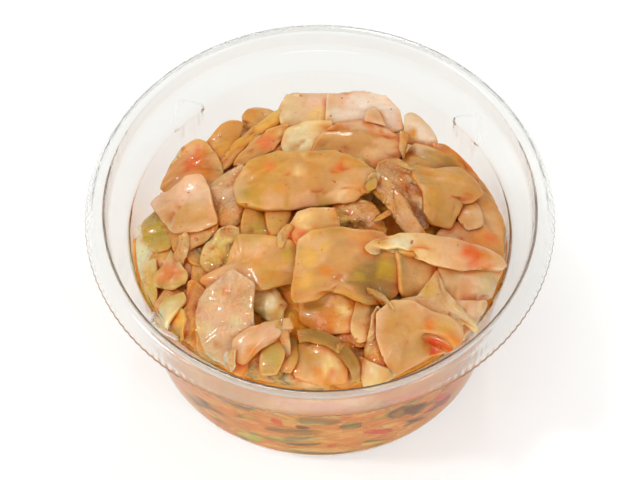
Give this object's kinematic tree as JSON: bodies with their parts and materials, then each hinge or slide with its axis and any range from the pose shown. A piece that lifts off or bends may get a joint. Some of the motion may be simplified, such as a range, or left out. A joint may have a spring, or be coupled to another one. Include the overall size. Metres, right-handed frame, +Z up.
{
  "type": "bowl of chili oil cabbage",
  "caption": "Round clear plastic deli cup, open at the top, filled with a heap of soft cabbage pieces in orange chili oil.",
  "frame": {"origin": "on the surface that the cup stands on, at the centre of the cup's base", "axes": "+Z up along the cup's axis; +Y towards the side where the heap falls away steeply from the wall; +X to the right when seen from -Y"},
  "size_m": [0.1008, 0.1008, 0.0508],
  "materials": {
    "cabbage": "wet with oil",
    "clear_plastic": "clear, glossy"
  },
  "bodies": {
    "root": {"cabbage": "cabbage", "cup": "clear_plastic"}
  },
  "joints": []
}
